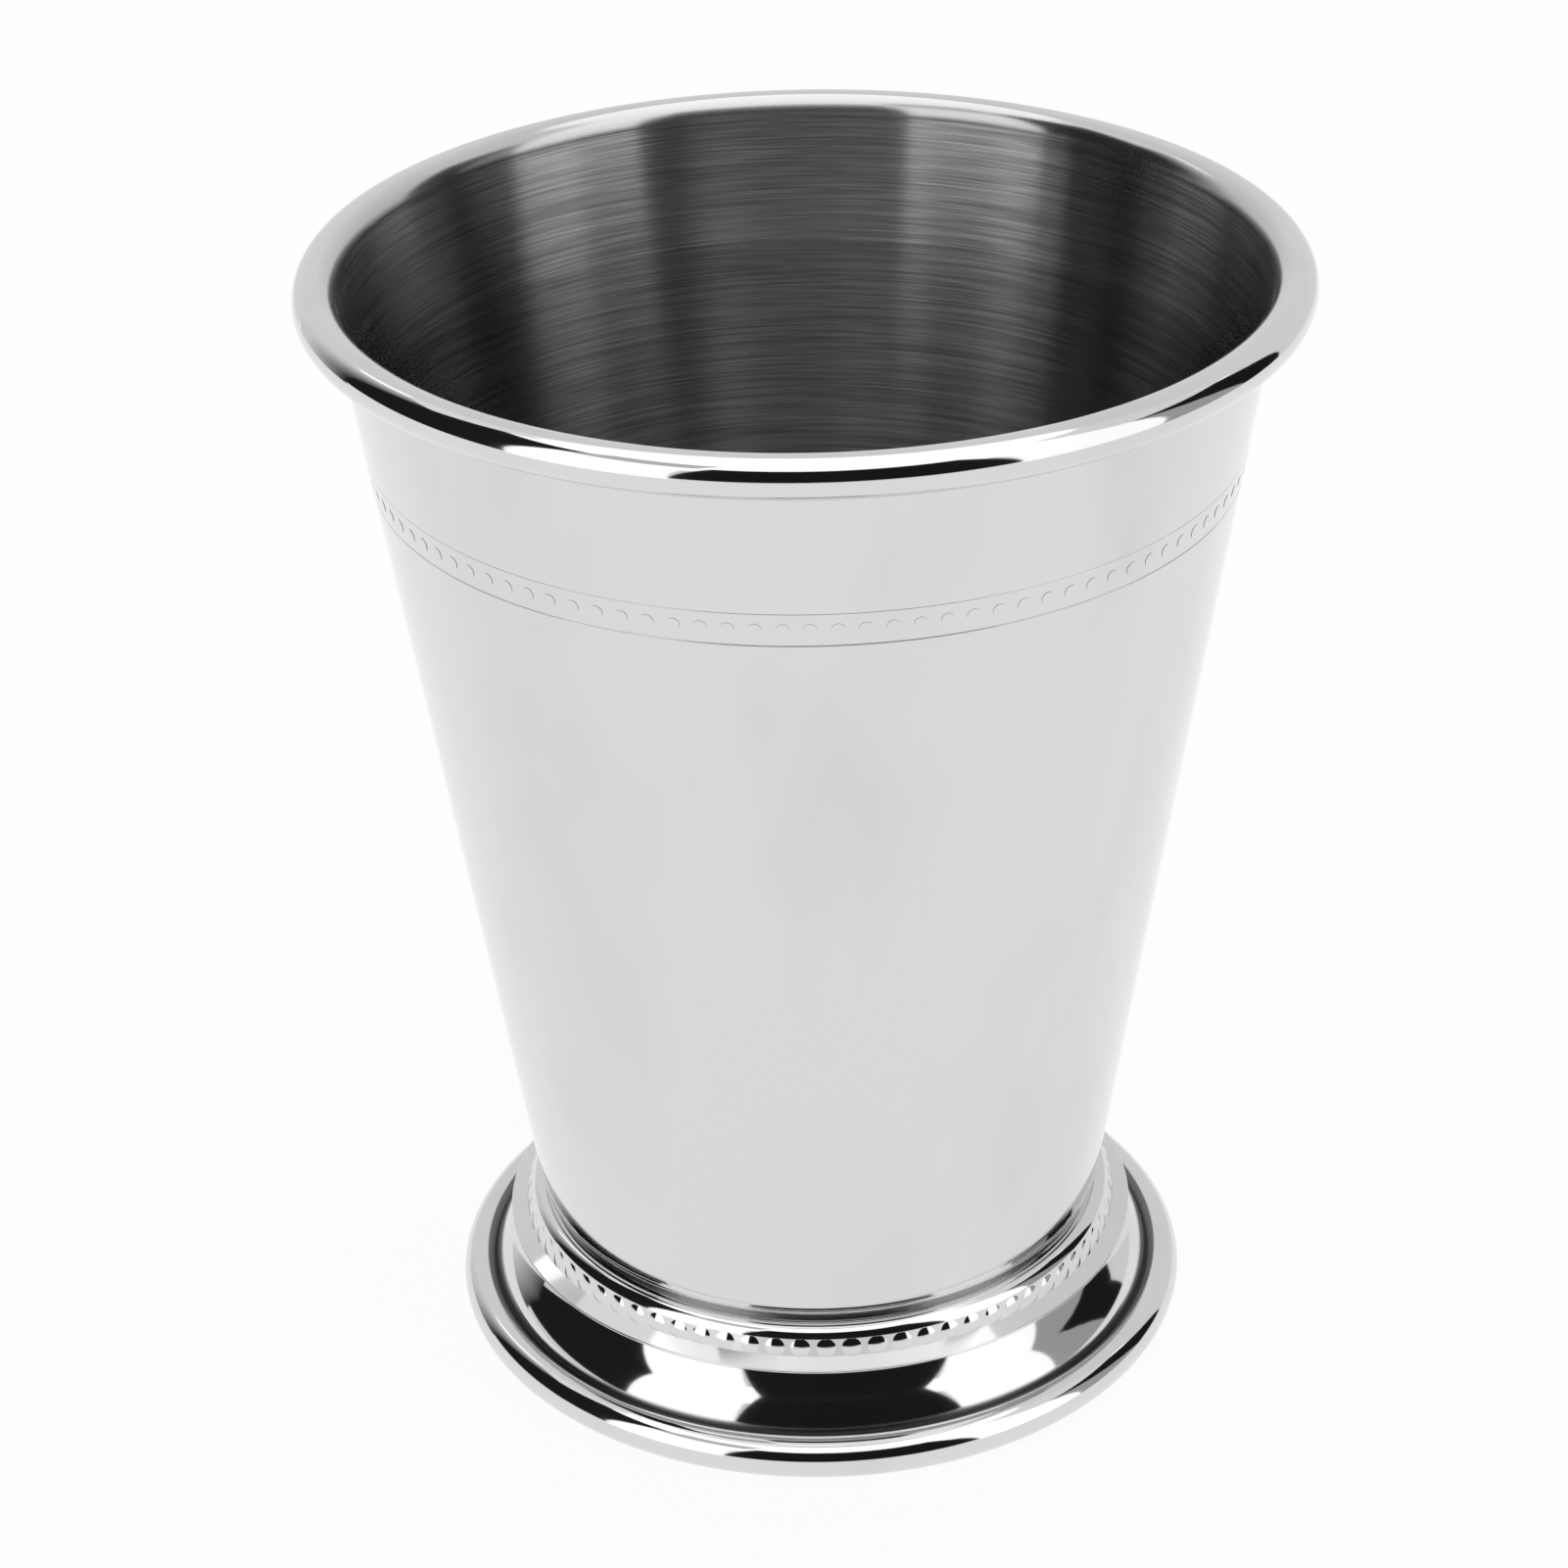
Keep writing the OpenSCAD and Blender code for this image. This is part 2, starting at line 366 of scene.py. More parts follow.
def polished_silver_plate(name="Polished silver plate"):
    """Silver plate, spun and mopped to a mirror: it shows the room, slightly drawn by handling."""
    finish = bpy.context.scene.julep_finish
    material, tree = new_material(name)
    # Cloudy smears of fingers and cloths, about a thumb's width
    smears = waves(tree, 18, (1, 1, 2.5))
    smear = add(
        tree,
        "ShaderNodeMapRange",
        [("Value", smears.outputs["Fac"])],
        From_Min=0.52,
        From_Max=0.7,
    )
    tint = add(
        tree,
        "ShaderNodeMix",
        [
            ("Factor", smear.outputs["Result"]),
            (COLOUR_A, (*finish.plate, 1)),
            (COLOUR_B, (*finish.plate_worn, 1)),
        ],
        data_type="RGBA",
    )
    gloss = add(
        tree,
        "ShaderNodeMapRange",
        [("Value", smears.outputs["Fac"])],
        To_Min=0.045,
        To_Max=0.085,
    )
    # The spun sheet is never quite true: soft waves of about a finger's width
    sheet = waves(tree, 9, (1, 1, 1.5), detail=1.0)
    ripple = add(
        tree,
        "ShaderNodeBump",
        [("Height", sheet.outputs["Fac"])],
        Strength=1.0,
        Distance=0.012 * MM,
    )
    # Fine mop marks that run round the piece, drawn coarser than life so that they show
    marks = waves(tree, 0.5, (30, 30, 1), detail=2.0)
    mop = add(
        tree,
        "ShaderNodeBump",
        [("Height", marks.outputs["Fac"]), ("Normal", ripple.outputs["Normal"])],
        Strength=1.0,
        Distance=0.0006 * MM,
    )
    shader = add(
        tree,
        "ShaderNodeBsdfPrincipled",
        [
            ("Base Color", tint.outputs[COLOUR_OUT]),
            ("Roughness", gloss.outputs["Result"]),
            ("Normal", mop.outputs["Normal"]),
        ],
        Metallic=1.0,
    )
    add(tree, "ShaderNodeOutputMaterial", [("Surface", shader.outputs["BSDF"])])
    return material


def axis_distance(tree):
    """Distance from the cup's axis, in metres."""
    place = add(tree, "ShaderNodeTexCoord")
    level = add(
        tree,
        "ShaderNodeVectorMath",
        [(0, place.outputs["Object"]), (1, (1, 1, 0))],
        operation="MULTIPLY",
    )
    radius = add(
        tree, "ShaderNodeVectorMath", [("Vector", level.outputs["Vector"])], operation="LENGTH"
    )
    return radius.outputs["Value"]


def turned_place(tree):
    """Object space with the radius added to the height.

    Waves drawn out sideways there are rings on a flat disc too, and not only on a wall.
    """
    place = add(tree, "ShaderNodeTexCoord")
    parts = add(tree, "ShaderNodeSeparateXYZ", [("Vector", place.outputs["Object"])])
    along = add(tree, "ShaderNodeMath", [(0, parts.outputs["Z"]), (1, axis_distance(tree))])
    joined = add(
        tree,
        "ShaderNodeCombineXYZ",
        [("X", parts.outputs["X"]), ("Y", parts.outputs["Y"]), ("Z", along.outputs[0])],
    )
    return joined.outputs["Vector"]


def blend_over(tree, share, tint, roughness):
    """Blends a finish, by a share from 0 to 1, into one tint and roughness. Returns its shader."""
    shader = next(n for n in tree.nodes if n.type == "BSDF_PRINCIPLED")
    under = shader.inputs["Base Color"].links[0].from_socket
    gloss = shader.inputs["Roughness"].links[0].from_socket
    mixed = add(
        tree,
        "ShaderNodeMix",
        [("Factor", share), (COLOUR_A, under), (COLOUR_B, (*tint, 1))],
        data_type="RGBA",
    )
    blend = add(
        tree, "ShaderNodeMapRange", [("Value", share), ("To Min", gloss)], To_Max=roughness
    )
    tree.links.new(mixed.outputs[COLOUR_OUT], shader.inputs["Base Color"])
    tree.links.new(blend.outputs["Result"], shader.inputs["Roughness"])
    return shader


def valley_shade_plate():
    """The mirror plate of the foot, with painted shade: a dull dark grey band in the wire's valley.
    """
    material = polished_silver_plate("Polished silver plate with painted valley shade")
    tree, lines = material.node_tree, CupLines()
    # The painted shade is a band of radii. Its share is 1 at the middle and falls to 0 over its
    # soft ends
    low, high = lines.ogee_foot_r - VALLEY_SHADE_REACH, lines.wire_cr - VALLEY_SHADE_GAP
    off = add(
        tree,
        "ShaderNodeMath",
        [(0, axis_distance(tree)), (1, (low + high) / 2)],
        operation="SUBTRACT",
    )
    away = add(tree, "ShaderNodeMath", [(0, off.outputs[0])], operation="ABSOLUTE")
    share = add(
        tree,
        "ShaderNodeMapRange",
        [("Value", away.outputs[0])],
        From_Min=(high - low) / 2,
        From_Max=(high - low) / 2 - VALLEY_SHADE_FADE,
    )
    # The valley's painted shade, in this dark grey
    seam = bpy.context.scene.julep_finish.seam
    blend_over(tree, share.outputs["Result"], seam, VALLEY_SHADE_ROUGHNESS)
    return material


def brushed_lip_plate():
    """The rim's mirror plate, with the brushing of the inside running out over its inner edge."""
    material = polished_silver_plate("Polished silver plate with brushed lip")
    tree, lines = material.node_tree, CupLines()
    # From the mirror near the crest to the brushed finish of the wall's inside
    share = add(
        tree,
        "ShaderNodeMapRange",
        [("Value", axis_distance(tree))],
        From_Min=lines.roll_cr - LIP_FROM * lines.roll_r,
        From_Max=lines.roll_cr - LIP_TO * lines.roll_r,
    )
    lip = bpy.context.scene.julep_finish.lip
    shader = blend_over(tree, share.outputs["Result"], lip, SATIN_ROUGHNESS)
    tree.links.new(share.outputs["Result"], shader.inputs["Anisotropic"])
    tree.links.new(along_rings(tree), shader.inputs["Tangent"])
    shader.inputs["Anisotropic Rotation"].default_value = ACROSS_RINGS
    return material


def satin_silver_plate():
    """Silver plate brushed on the lathe: fine rings that draw a highlight out up and down."""
    finish = bpy.context.scene.julep_finish
    material, tree = new_material("Satin brushed silver plate")
    # Rings left by the abrasive: grit about 0.2 mm apart, in strokes some 13 mm long
    turned = turned_place(tree)
    rings = waves(tree, 0.22, (60, 60, 1), detail=3.0, roughness=0.6, place=turned)
    # Wider bands where the hand pressed harder
    bands = waves(tree, 4, (12, 12, 1), detail=2.0, place=turned)
    contrast = add(
        tree,
        "ShaderNodeMapRange",
        [("Value", rings.outputs["Fac"])],
        From_Min=0.35,
        From_Max=0.65,
    )
    tint = add(
        tree,
        "ShaderNodeMix",
        [
            ("Factor", contrast.outputs["Result"]),
            (COLOUR_A, (*finish.satin_dark, 1)),
            (COLOUR_B, (*finish.satin, 1)),
        ],
        data_type="RGBA",
    )
    gloss = add(
        tree,
        "ShaderNodeMapRange",
        [("Value", bands.outputs["Fac"])],
        To_Min=SATIN_ROUGHNESS - 0.02,
        To_Max=SATIN_ROUGHNESS + 0.02,
    )
    # The plate is darker below a ring under the mouth, and on the floor
    place = add(tree, "ShaderNodeTexCoord")
    height = add(tree, "ShaderNodeSeparateXYZ", [("Vector", place.outputs["Object"])])
    darker_below = add(
        tree,
        "ShaderNodeMapRange",
        [("Value", height.outputs["Z"])],
        From_Min=DARKER_BELOW_Z - DARKER_BELOW_EDGE,
        From_Max=DARKER_BELOW_Z + DARKER_BELOW_EDGE,
        To_Min=DARKER_BELOW_SHARE,
    )
    brushed = add(
        tree,
        "ShaderNodeVectorMath",
        [("Vector", tint.outputs[COLOUR_OUT]), ("Scale", darker_below.outputs["Result"])],
        operation="SCALE",
    )
    groove = add(
        tree,
        "ShaderNodeBump",
        [("Height", rings.outputs["Fac"])],
        Strength=1.0,
        Distance=0.002 * MM,
    )
    shader = add(
        tree,
        "ShaderNodeBsdfPrincipled",
        [
            ("Base Color", brushed.outputs["Vector"]),
            ("Roughness", gloss.outputs["Result"]),
            ("Normal", groove.outputs["Normal"]),
            ("Tangent", along_rings(tree)),
        ],
        Metallic=1.0,
        Anisotropic=1.0,
        Anisotropic_Rotation=ACROSS_RINGS,
    )
    add(tree, "ShaderNodeOutputMaterial", [("Surface", shader.outputs["BSDF"])])
    return material


def tarnished_silver_plate():
    """Plate that no cloth reaches, at a scribed line's bottom: a dull grey, patchy hairline."""
    finish = bpy.context.scene.julep_finish
    material, tree = new_material("Tarnished silver plate")
    # Patches a few millimetres long, where the tarnish is thinner
    patches = waves(tree, 5, detail=2.0)
    tint = add(
        tree,
        "ShaderNodeMix",
        [
            ("Factor", patches.outputs["Fac"]),
            (COLOUR_A, (*finish.tarnish, 1)),
            (COLOUR_B, (*finish.plate, 1)),
        ],
        data_type="RGBA",
    )
    gloss = add(
        tree, "ShaderNodeMapRange", [("Value", patches.outputs["Fac"])], To_Min=0.42, To_Max=0.22
    )
    shader = add(
        tree,
        "ShaderNodeBsdfPrincipled",
        [("Base Color", tint.outputs[COLOUR_OUT]), ("Roughness", gloss.outputs["Result"])],
        Metallic=1.0,
    )
    add(tree, "ShaderNodeOutputMaterial", [("Surface", shader.outputs["BSDF"])])
    return material


def lead_free_solder():
    """Soft solder, scraped after it flowed: a duller grey ring with a grain."""
    finish = bpy.context.scene.julep_finish
    material, tree = new_material("Lead-free solder")
    grain = waves(tree, 0.6, detail=5.0)
    bump = add(
        tree, "ShaderNodeBump", [("Height", grain.outputs["Fac"])], Strength=1.0, Distance=0.02 * MM
    )
    gloss = add(
        tree, "ShaderNodeMapRange", [("Value", grain.outputs["Fac"])], To_Min=0.22, To_Max=0.42
    )
    shader = add(
        tree,
        "ShaderNodeBsdfPrincipled",
        [("Roughness", gloss.outputs["Result"]), ("Normal", bump.outputs["Normal"])],
        Metallic=1.0,
        Base_Color=(*finish.solder, 1),
    )
    add(tree, "ShaderNodeOutputMaterial", [("Surface", shader.outputs["BSDF"])])
    return material


def studio_light(name, strength, depths=(0.0, 1.0)):
    """A lit card: it lights and is mirrored at its strength, and the camera sees plain white.

    Two strengths are those at the two depths, and the card fades from one to the other.
    """
    material, tree = new_material(name)
    path = add(tree, "ShaderNodeLightPath")
    card = add(tree, "ShaderNodeEmission", Color=(1, 1, 1, 1))
    if isinstance(strength, tuple):
        place = add(tree, "ShaderNodeTexCoord")
        axes = add(tree, "ShaderNodeSeparateXYZ", [("Vector", place.outputs["Object"])])
        fade = add(
            tree,
            "ShaderNodeMapRange",
            [("Value", axes.outputs["Y"])],
            From_Min=depths[0],
            From_Max=depths[1],
            To_Min=strength[0],
            To_Max=strength[1],
        )
        tree.links.new(fade.outputs["Result"], card.inputs["Strength"])
    else:
        card.inputs["Strength"].default_value = strength
    white = add(tree, "ShaderNodeEmission", Color=(1, 1, 1, 1), Strength=1.0)
    mix = add(
        tree,
        "ShaderNodeMixShader",
        [("Fac", path.outputs["Is Camera Ray"]), (1, card.outputs[0]), (2, white.outputs[0])],
    )
    add(tree, "ShaderNodeOutputMaterial", [("Surface", mix.outputs[0])])
    return material


def white_table():
    """Matt white laminate. It keeps the cup's shadow, and the camera and the metal see it white."""
    finish = bpy.context.scene.julep_finish
    material, tree = new_material("Matt white laminate")
    path = add(tree, "ShaderNodeLightPath")
    seen = add(
        tree,
        "ShaderNodeMath",
        [(0, path.outputs["Is Camera Ray"]), (1, path.outputs["Is Glossy Ray"])],
        operation="MAXIMUM",
    )
    share = add(
        tree, "ShaderNodeMath", [(0, seen.outputs[0]), (1, TABLE_WHITE)], operation="MULTIPLY"
    )
    board = add(
        tree,
        "ShaderNodeBsdfPrincipled",
        Base_Color=(*finish.table, 1),
        Roughness=0.6,
    )
    white = add(tree, "ShaderNodeEmission", Color=(1, 1, 1, 1), Strength=1.0)
    mix = add(
        tree,
        "ShaderNodeMixShader",
        [("Fac", share.outputs[0]), (1, board.outputs[0]), (2, white.outputs[0])],
    )
    add(tree, "ShaderNodeOutputMaterial", [("Surface", mix.outputs[0])])
    return material


# --- The cup's lines, worked out from its sizes ------------------------------------------------


class CupLines:
    """The wall's taper and the foot's radii and levels, in metres."""

    def __init__(self):
        cup = bpy.context.scene.julep_cup
        foot = bpy.context.scene.julep_foot
        self.roll_r = cup.roll_d / 2
        self.roll_cr = ROLL_HIGH.x - self.roll_r
        self.roll_z = ROLL_HIGH.z - self.roll_r
        self.base_r = cup.taper_base_d / 2
        self.top_r = ROLL_HIGH.x - cup.roll_d + cup.wall_t
        self.slope = (self.top_r - self.base_r) / (self.roll_z - SEAT_Z)
        self.seat_hole_r = self.base_r - foot.seat_lap
        # The shoulder's rounding runs out in line with the strip that carries the beads
        self.strip_top_r = self.base_r + foot.shoulder_w
        self.seat_r = self.strip_top_r - foot.shoulder_r * math.cos(foot.strip_lean)
        self.strip_foot_r = self.strip_top_r + foot.strip_h * math.tan(foot.strip_lean)
        self.drum_r = self.strip_top_r - foot.strip_t - foot.seam
        self.ledge_r = self.strip_foot_r + foot.ledge_w
        self.ogee_top_r = self.ledge_r - foot.ledge_over
        self.ogee_foot_r = self.ledge_r + foot.ogee_w
        self.wire_cr = self.ogee_foot_r + foot.valley_w
        self.wire_r = WIRE_HIGH.x - self.wire_cr
        self.wire_z = WIRE_HIGH.z - self.wire_r
        self.valley_z = self.wire_z + math.sqrt(self.wire_r**2 - foot.valley_w**2)
        self.strip_top = SEAT_Z - foot.shoulder_r * (1 - math.sin(foot.strip_lean))
        self.strip_base = self.strip_top - foot.strip_h
        self.ledge_z = self.strip_base - foot.ledge_fall
        self.ogee_top_z = self.ledge_z - foot.ledge_edge

    def wall_r(self, z):
        """The wall's outer radius at a height."""
        return self.base_r + (z - SEAT_Z) * self.slope


# --- Pieces ----------------------------------------------------------------------------------


class JULEP_OT_wall(bpy.types.Operator):
    """Builds the tapered wall with its scribed lines, mirror polished outside and brushed inside"""

    bl_idname = "julep.wall"
    bl_label = "Cup Wall"

    def execute(self, context):
        cup, lines = context.scene.julep_cup, CupLines()
        floor_z = SEAT_Z + cup.wall_t
        inner_base = lines.wall_r(floor_z) - cup.wall_t
        bm = bmesh.new()
        first = last = start(bm, lines.seat_hole_r, SEAT_Z)
        last = round_to(
            bm,
            last,
            corner=(lines.base_r, SEAT_Z),
            then=(lines.top_r, lines.roll_z),
            radius=cup.corner_r,
            steps=16,
        )
        scribed = ((cup.band_z, 1), (cup.band_z + cup.band_w, UPPER_LINE_SHARE))
        for z, share in scribed:
            low, high = z - share * cup.line_w / 2, z + share * cup.line_w / 2
            last = lines_to(
                bm,
                last,
                (lines.wall_r(low), low),
                (lines.wall_r(z) - share * cup.line_depth, z),
                (lines.wall_r(high), high),
            )
        last = line_to(bm, last, lines.top_r, lines.roll_z)
        last = line_to(bm, last, lines.top_r - cup.wall_t, lines.roll_z)
        last = round_to(
            bm,
            last,
            corner=(inner_base, floor_z),
            then=(lines.seat_hole_r, floor_z),
            radius=cup.corner_r - cup.wall_t,
            steps=8,
        )
        last = line_to(bm, last, lines.seat_hole_r, floor_z)
        bm.edges.new((last, first))
        turn(bm)
        bmesh.ops.recalc_face_normals(bm, faces=bm.faces)
        for face in bm.faces:
            middle = face.calc_center_median()
            inwards = face.normal.x * middle.x + face.normal.y * middle.y < 0
            inside = middle.z > floor_z - cup.wall_t / 4 and middle.z < lines.roll_z - 1e-6
            face.material_index = 1 if inwards and inside else 0
            if not inwards and any(abs(middle.z - z) < s * cup.line_w / 2 for z, s in scribed):
                face.material_index = 2
        finish_piece(
            bm,
            "Cup_Wall",
            [polished_silver_plate(), satin_silver_plate(), tarnished_silver_plate()],
            ["cup_wall"],
        )
        return {"FINISHED"}


class JULEP_OT_floor(bpy.types.Operator):
    """Builds the floor disc inside the cup"""

    bl_idname = "julep.floor"
    bl_label = "Cup Floor"

    def execute(self, context):
        low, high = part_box("cup_floor")
        bm = bmesh.new()
        last = start(bm, 0.0, low.z)
        lines_to(bm, last, (high.x, low.z), (high.x, high.z), (0.0, high.z))
        turn(bm, TURN_STEPS // 2)
        finish_piece(bm, "Cup_Floor", [satin_silver_plate()], ["cup_floor"])
        return {"FINISHED"}


class JULEP_OT_rim(bpy.types.Operator):
    """Builds the hollow rolled rim"""

    bl_idname = "julep.rim"
    bl_label = "Rolled Rim"

    def execute(self, context):
        cup, lines = context.scene.julep_cup, CupLines()
        centre = (lines.roll_cr, lines.roll_z)
        end_z = lines.roll_z - lines.roll_r * math.sin(math.radians(ROLL_END))
        end_r = lines.wall_r(end_z) + cup.roll_slot
        sweep = 360 - math.degrees(math.acos((lines.roll_cr - end_r) / lines.roll_r))
        inner = lines.roll_r - cup.wall_t
        end = math.radians(180 - sweep)
        bm = bmesh.new()
        first = start(bm, lines.roll_cr - lines.roll_r, lines.roll_z)
        last = arc_to(bm, first, centre, -sweep, steps=84)
        last = line_to(
            bm, last, lines.roll_cr + inner * math.cos(end), lines.roll_z + inner * math.sin(end)
        )
        last = arc_to(bm, last, centre, sweep, steps=42)
        bm.edges.new((last, first))
        turn(bm)
        finish_piece(bm, "Rim_Roll", [brushed_lip_plate()], ["rim_roll"])
        return {"FINISHED"}


class JULEP_OT_band(bpy.types.Operator):
    """Stamps the row of low round dots between the scribed lines"""

    bl_idname = "julep.band"
    bl_label = "Band Dots"

    def execute(self, context):
        cup, lines = context.scene.julep_cup, CupLines()
        z = cup.band_z + cup.band_w / 2
        bm = bmesh.new()
        bmesh.ops.create_circle(bm, cap_ends=True, segments=20, radius=cup.dot_d / 2)
        disc = bm.faces[:]
        for share, rise in DOT_RINGS:
            # The inset only adds a ring of faces. Its vertices are placed by the next lines
            bmesh.ops.inset_region(bm, faces=disc, thickness=0.1 * MM, depth=0.0)
            for vert in disc[0].verts:
                flat = vert.co.to_2d().normalized() * cup.dot_d / 2 * share
                vert.co = (*flat, vert.co.z + rise * cup.dot_h)
        lean = math.atan(lines.slope)
        place = (
            Matrix.Translation((lines.wall_r(z), 0, z))
            @ Matrix.Rotation(math.radians(90) + lean, 4, "Y")
            @ Matrix.Translation((0, 0, -DOT_SINK * cup.dot_h))
        )
        bmesh.ops.transform(bm, matrix=place, verts=bm.verts)
        repeat_round(bm, cup.dot_n)
        finish_piece(bm, "Band_Dots", [polished_silver_plate()], crease=60)
        return {"FINISHED"}


class JULEP_OT_foot(bpy.types.Operator):
    """Builds the spun foot: seat, shoulder, ledge, ogee and flange, open underneath"""

    bl_idname = "julep.foot"
    bl_label = "Foot"

    def execute(self, context):
        foot, lines = context.scene.julep_foot, CupLines()
        t = foot.sheet_t
        bm = bmesh.new()
        first = last = start(bm, lines.seat_hole_r, SEAT_Z)
        last = line_to(bm, last, lines.seat_r, SEAT_Z)
        shoulder = (lines.seat_r, SEAT_Z - foot.shoulder_r)
        last = arc_to(bm, last, shoulder, math.degrees(foot.strip_lean) - 90, steps=24)
        edge_r = foot.ledge_edge / 2
        last = lines_to(
            bm,
            last,
            (lines.drum_r, lines.strip_top),
            (lines.drum_r, lines.strip_base),
            (lines.strip_foot_r, lines.strip_base),
            (lines.ledge_r - edge_r, lines.ledge_z),
        )
        last = arc_to(bm, last, (lines.ledge_r - edge_r, lines.ledge_z - edge_r), -180, steps=20)
        # The ogee is two equal arcs, hollow above and swelling below, that meet halfway
        top = Vector((lines.ogee_top_r, lines.ogee_top_z))
        bottom = Vector((lines.ogee_foot_r, lines.valley_z))
        half = (bottom - top) / 2
        out = Vector((-half.y, half.x)).normalized()
        reach = math.sqrt(foot.ogee_r**2 - (half.length / 2) ** 2)
        swing = 2 * math.degrees(math.asin(half.length / 2 / foot.ogee_r))
        last = line_to(bm, last, *top)
        last = arc_to(bm, last, top + half / 2 + out * reach, swing, steps=24)
        last = arc_to(bm, last, bottom - half / 2 - out * reach, -swing, steps=24)
        # The sheet's end lies inside the wire, and its inside goes back up to the hole in the seat
        last = lines_to(
            bm,
            last,
            (lines.ogee_foot_r + t / 2, lines.valley_z - t / 2),
            (lines.ogee_foot_r - t / 2, lines.valley_z - t),
            (lines.ogee_foot_r - t, lines.valley_z - t / 2),
            (lines.ogee_top_r - t, lines.ogee_top_z - t),
            (lines.drum_r - t, lines.strip_base - t),
            (lines.drum_r - t, lines.strip_top - t),
            (lines.seat_r - t, SEAT_Z - t),
            (lines.seat_hole_r, SEAT_Z - t),
        )
        bm.edges.new((last, first))
        turn(bm)
        finish_piece(bm, "Spun_Foot", [valley_shade_plate()], ["foot_shell"])
        return {"FINISHED"}


class JULEP_OT_beads(bpy.types.Operator):
    """Builds the strip of round beads that runs round the foot's drum"""

    bl_idname = "julep.beads"
    bl_label = "Beaded Strip"

    def execute(self, context):
        foot, lines = context.scene.julep_foot, CupLines()
        ball_r = ((foot.bead_d / 2) ** 2 + foot.bead_h**2) / (2 * foot.bead_h)
        middle_r = (lines.strip_top_r + lines.strip_foot_r) / 2
        middle_z = (lines.strip_base + lines.strip_top) / 2
        inside_r = lines.drum_r + foot.seam
        place = (
            Matrix.Rotation(foot.bead_start, 4, "Z")
            @ Matrix.Translation((middle_r, 0, middle_z))
            @ Matrix.Rotation(math.radians(90) - foot.strip_lean, 4, "Y")
            @ Matrix.Translation((0, 0, foot.bead_h - ball_r))
        )
        bm = bmesh.new()
        bmesh.ops.create_uvsphere(bm, u_segments=32, v_segments=96, radius=ball_r)
        bmesh.ops.transform(bm, matrix=place, verts=bm.verts)
        # Each ball is cut to the strip: at its inside, and at its top and bottom edges
        inner = Matrix.Rotation(foot.bead_start, 3, "Z") @ Vector((inside_r, 0, 0))
        cuts = (
            (inner, -inner),
            ((0, 0, lines.strip_top), (0, 0, 1)),
            ((0, 0, lines.strip_base), (0, 0, -1)),
        )
        for point, away in cuts:
            geom = bm.verts[:] + bm.edges[:] + bm.faces[:]
            cut = bmesh.ops.bisect_plane(
                bm, geom=geom, plane_co=point, plane_no=away, clear_outer=True
            )
            rim = [g for g in cut["geom_cut"] if isinstance(g, bmesh.types.BMEdge)]
            bmesh.ops.edgenet_fill(bm, edges=rim)
        bmesh.ops.recalc_face_normals(bm, faces=bm.faces)
        repeat_round(bm, foot.bead_n)
        strip = bmesh.new()
        first = start(strip, inside_r, lines.strip_base)
        last = lines_to(
            strip,
            first,
            (lines.strip_foot_r, lines.strip_base),
            (lines.strip_top_r, lines.strip_top),
            (inside_r, lines.strip_top),
        )
        strip.edges.new((last, first))
        turn(strip)
        backing = bpy.data.meshes.new("strip")
        strip.to_mesh(backing)
        strip.free()
        bm.from_mesh(backing)
        bpy.data.meshes.remove(backing)
        finish_piece(
            bm, "Bead_Strip", [polished_silver_plate()], ["bead_strip"]
        )
        return {"FINISHED"}


class JULEP_OT_wire(bpy.types.Operator):
    """Builds the foot's edge wire, filed flat where the cup stands"""

    bl_idname = "julep.wire"
    bl_label = "Foot Wire"

    def execute(self, context):
        lines = CupLines()
        centre = (lines.wire_cr, lines.wire_z)
        rest = math.degrees(math.asin(lines.wire_z / lines.wire_r))
        bm = bmesh.new()
        first = start(bm, lines.wire_cr, WIRE_HIGH.z)
        last = arc_to(bm, first, centre, -(90 + rest), steps=60)
        last = line_to(bm, last, 2 * lines.wire_cr - last.co.x, 0.0)
        last = arc_to(bm, last, centre, -(90 + rest), steps=60)
        bm.edges.new((last, first))
        turn(bm)
        finish_piece(bm, "Foot_Wire", [valley_shade_plate()], ["foot_wire"])
        return {"FINISHED"}


class JULEP_OT_solder(bpy.types.Operator):
    """Builds the fine ring of solder between the cup and the foot's seat"""

    bl_idname = "julep.solder"
    bl_label = "Solder Ring"

    def execute(self, context):
        cup, lines = context.scene.julep_cup, CupLines()
        low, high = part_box("solder_fillet")
        corner_x = lines.base_r - cup.corner_r * math.tan(
            math.radians(45) - math.atan(lines.slope) / 2
        )
        bm = bmesh.new()
        # It starts where the cup's corner, 15 degrees round from its lowest point, is close above
        inner = corner_x + cup.corner_r * math.sin(math.radians(15))
        first = start(bm, inner, low.z)
        last = lines_to(
            bm,
            first,
            (high.x, low.z),
            (high.x, high.z),
            (inner, low.z + (high.z - low.z) / 4),
        )
        bm.edges.new((last, first))
        turn(bm)
        finish_piece(bm, "Solder_Ring", [lead_free_solder()], ["solder_fillet"])
        return {"FINISHED"}


# --- The studio --------------------------------------------------------------------------------


def stage_object(bm, name, material):
    """A part of the studio, which isn't part of the cup."""
    mesh = bpy.data.meshes.new(name)
    bm.to_mesh(mesh)
    bm.free()
    mesh.materials.append(material)
    thing = bpy.data.objects.new(name, mesh)
    bpy.context.scene.collection.objects.link(thing)
    return thing


